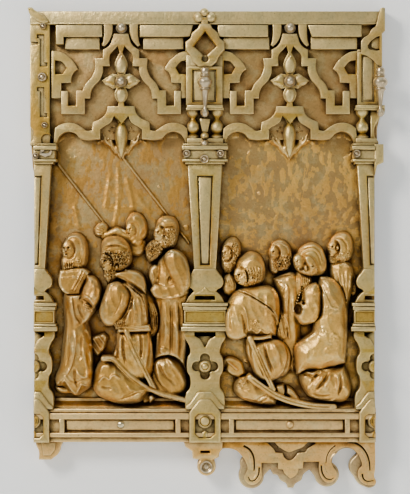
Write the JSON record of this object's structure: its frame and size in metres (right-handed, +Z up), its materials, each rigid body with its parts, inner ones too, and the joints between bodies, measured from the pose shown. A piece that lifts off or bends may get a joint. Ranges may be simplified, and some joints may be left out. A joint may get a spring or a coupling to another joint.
{
  "type": "relief plaque",
  "caption": "Flat-backed gilt cast-bronze wall plaque with strapwork frame, two niches of kneeling figures in relief and a scrolled apron, fixed to a wall by its back.",
  "frame": {"origin": "on the flat back, at the height midway between the leaf tips and the lowest scroll, on the centre pilaster's axis", "axes": "+X to the viewer's right, +Y into the wall, +Z up; the relief faces -Y"},
  "size_m": [0.2474, 0.0285, 0.3318],
  "materials": {
    "gilt_bronze": "mercury-gilt cast bronze, olive gold on the strapwork, orange brown in the recesses, pitted and matt",
    "worn_gilt": "burnished turned bronze, gilding worn to brown",
    "screw_metal": "bright slotted screw head"
  },
  "bodies": {
    "root": {"relief_casting": "gilt_bronze", "apex_stud_1": "worn_gilt", "apex_stud_2": "worn_gilt", "fleuron_stud_1": "worn_gilt", "fleuron_stud_2": "worn_gilt", "baluster_centre": "worn_gilt", "baluster_right": "worn_gilt", "rail_screw_1": "screw_metal", "rail_screw_2": "screw_metal"}
  },
  "joints": []
}
